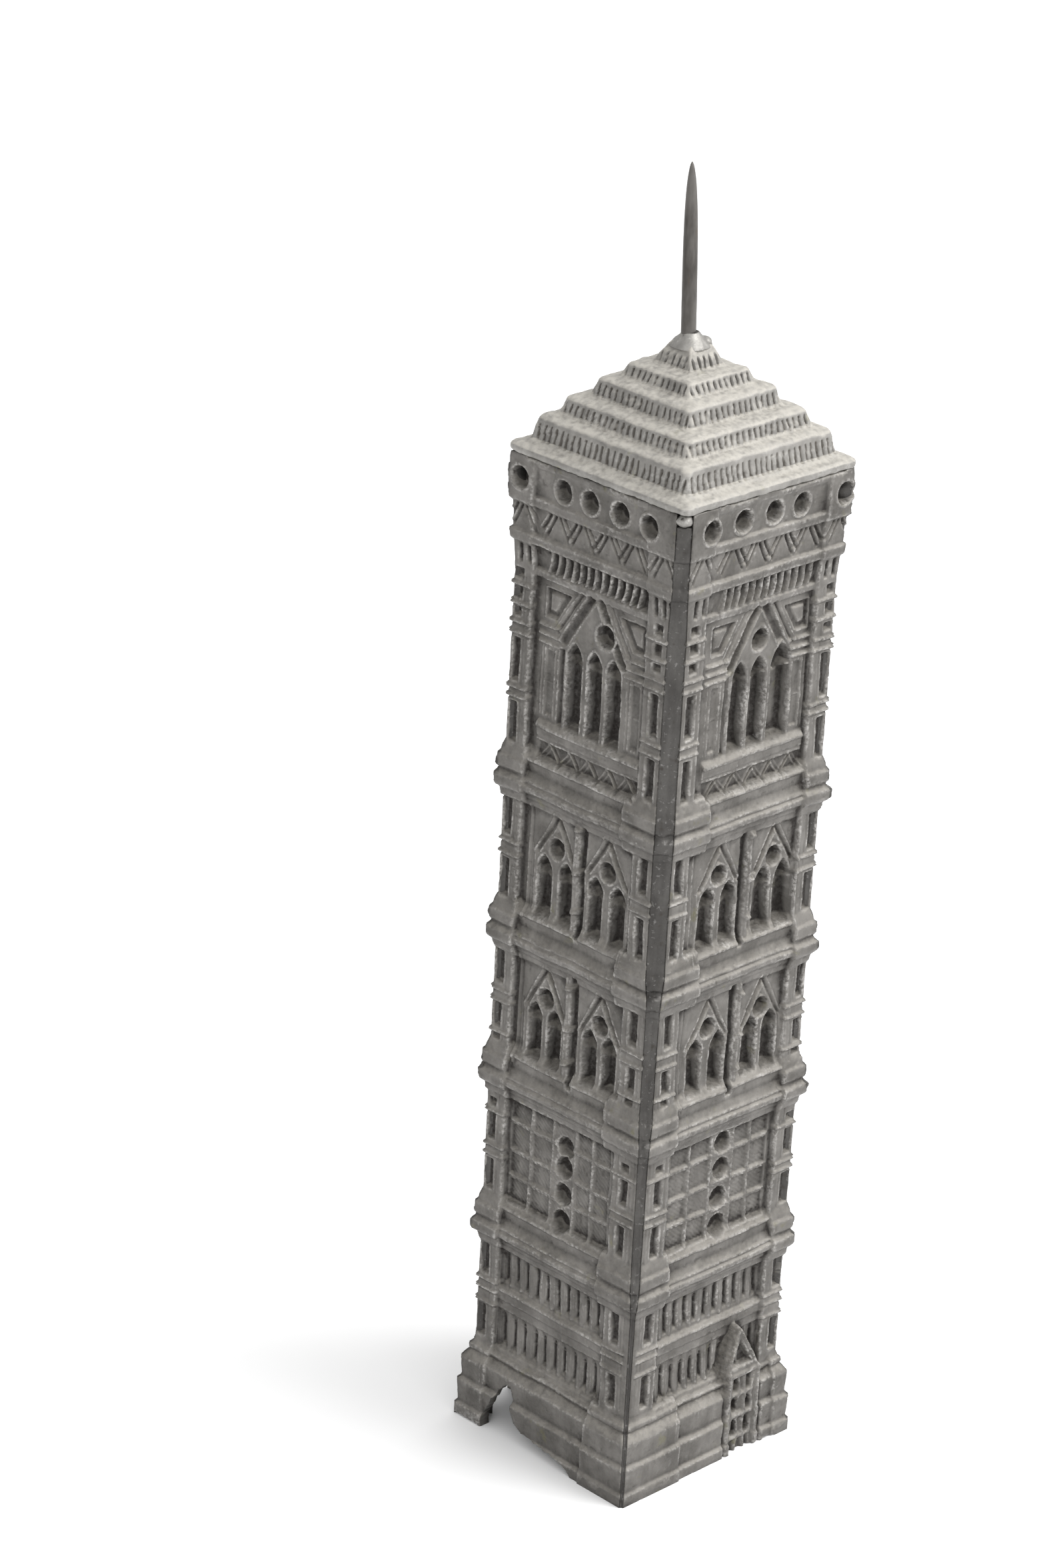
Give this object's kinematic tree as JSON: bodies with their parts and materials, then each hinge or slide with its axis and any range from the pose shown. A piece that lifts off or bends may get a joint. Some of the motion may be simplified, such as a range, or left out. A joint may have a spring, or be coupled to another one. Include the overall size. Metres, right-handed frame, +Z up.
{
  "type": "souvenir bell tower",
  "caption": "Small hollow cast-metal souvenir of a square Gothic bell tower with arcades, twin windows, a flared gallery, a stepped ribbed roof and a pin mast.",
  "frame": {"origin": "centre of the square base, on the surface the tower stands on", "axes": "+Z up through the mast, -Y out of the wall with the door, -X out of the wall with the ragged notch"},
  "size_m": [0.027, 0.027, 0.1467],
  "materials": {
    "pewter": "dull cast pewter, dark in the recesses, pale dust on the ledges",
    "solder": "rough dull solder with bare bright nicks",
    "pin_steel": "dark tarnished steel with a little rust"
  },
  "bodies": {
    "root": {"front_wall": "pewter", "left_wall": "pewter", "back_wall": "pewter", "right_wall": "pewter", "roof_cap": "pewter", "mast": "pin_steel", "front_left_seam": "solder", "front_right_seam": "solder", "back_left_seam": "solder", "back_right_seam": "solder", "eave_solder": "solder", "mast_solder": "solder"}
  },
  "joints": []
}
